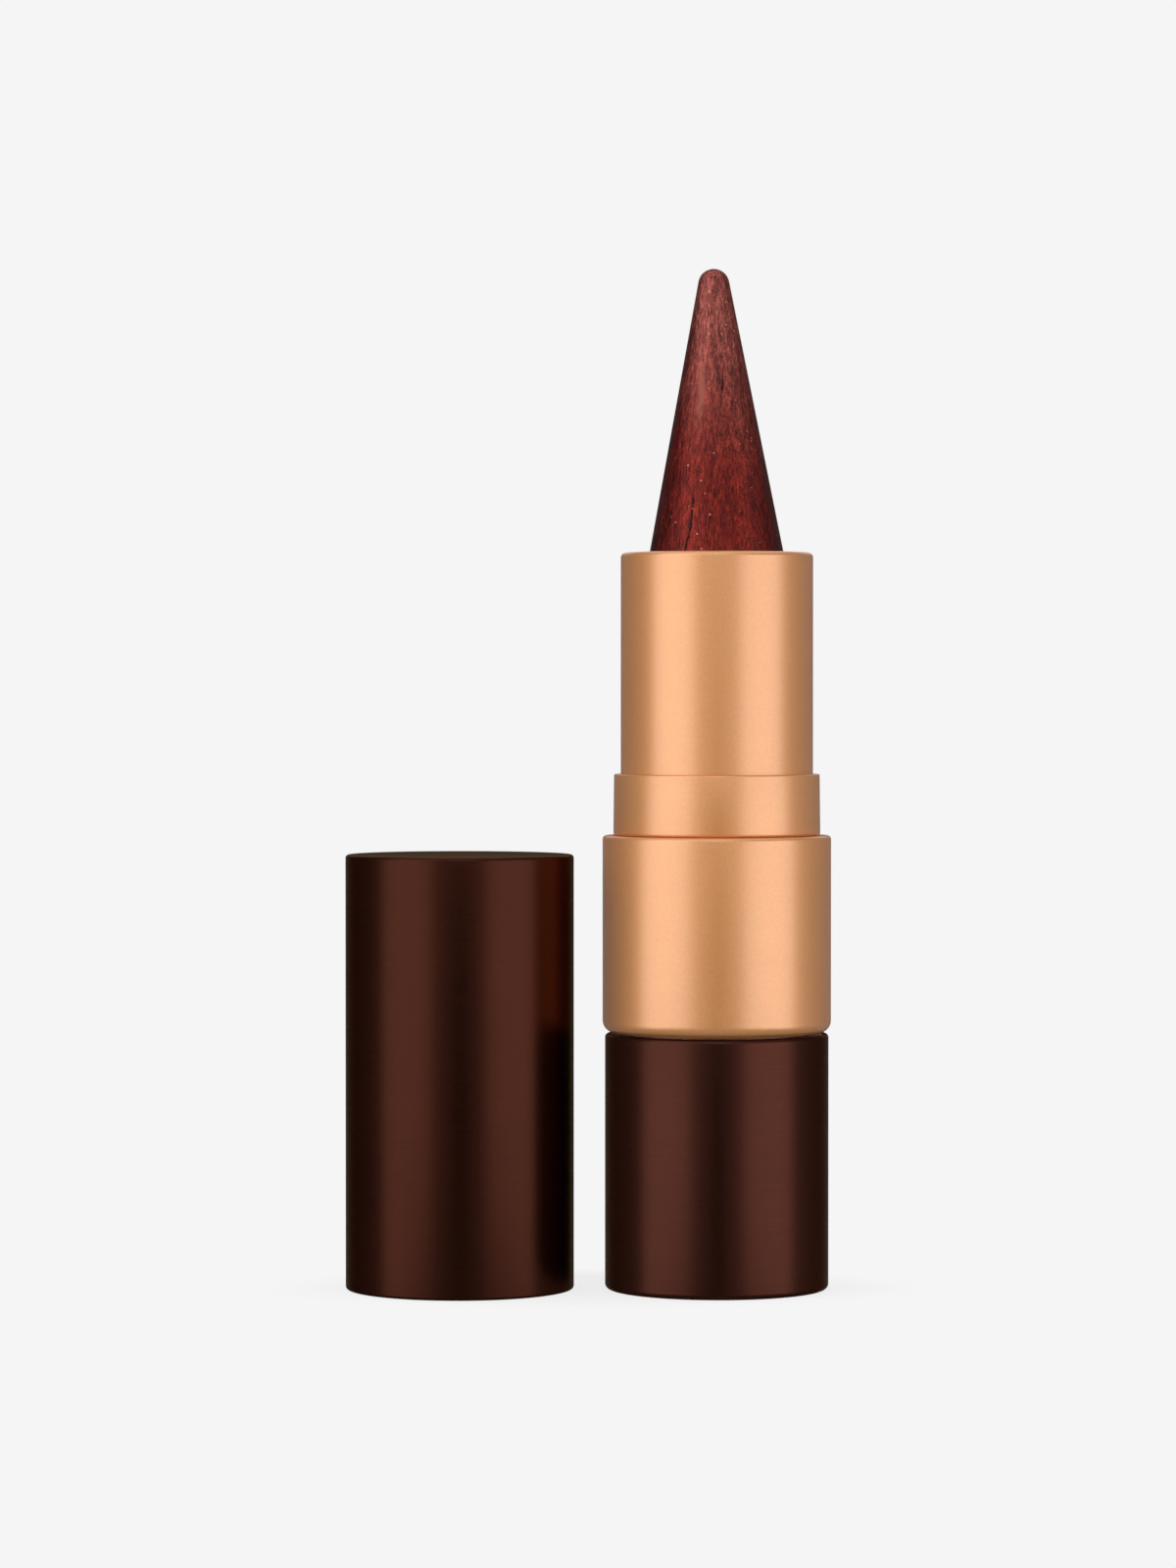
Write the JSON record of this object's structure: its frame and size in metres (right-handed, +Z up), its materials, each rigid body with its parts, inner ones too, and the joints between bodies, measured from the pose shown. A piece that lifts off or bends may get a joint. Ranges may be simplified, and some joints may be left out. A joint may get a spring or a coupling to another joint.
{
  "type": "twist-up eyeliner stick",
  "caption": "Twist-up eyeliner: a cone-tipped bullet in a copper-coloured sleeve on a dark brown turning base, with its pull-off cap standing beside it.",
  "frame": {"origin": "centre of the base's flat underside, on the axis of the stick", "axes": "+Z up along the stick's axis, from the base to the bullet's tip; the cap stands at -X; +Y points away from the picture's camera"},
  "size_m": [0.0404, 0.019, 0.0849],
  "materials": {
    "dark_shell": "satin dark brown anodised",
    "copper_shell": "satin copper-coloured anodised",
    "bullet_mass": "moulded wax and oil mass, softly glossy",
    "natural_plastic": "natural acetal, as moulded",
    "white_plastic": "white polypropylene, as moulded",
    "black_plastic": "black polypropylene, as moulded",
    "silicone": "clear silicone",
    "steel": "zinc plated"
  },
  "bodies": {
    "base": {"base_shell": "dark_shell", "base_weight": "steel", "base_core": "black_plastic", "guide_tube": "white_plastic"},
    "upper": {"torque_ring": "silicone", "spiral_sleeve": "natural_plastic", "cover_sleeve": "copper_shell", "snap_ring": "copper_shell", "collar_shell": "copper_shell", "collar_core": "black_plastic"},
    "carrier": {"cup": "white_plastic", "bullet": "bullet_mass"},
    "cap": {"cap_shell": "dark_shell", "cap_liner": "black_plastic"}
  },
  "joints": [
    {"name": "sleeve_turn", "type": "hinge", "parent": "base", "child": "upper", "pos_m": [0, 0, 0], "axis": [0, 0, 1], "range_deg": [-63.87, 476.12]},
    {"name": "carrier_slide", "type": "slide", "parent": "base", "child": "carrier", "axis": [0, 0, 1], "range_m": [-0.0246, 0.0033]},
    {"name": "cap_lift", "type": "slide", "parent": "base", "child": "cap", "axis": [0, 0, 1], "range_m": [0, 0.09]}
  ],
  "couplings": [
    {"joint": "carrier_slide", "follows": "sleeve_turn", "m_per_rad": -0.0029603}
  ]
}
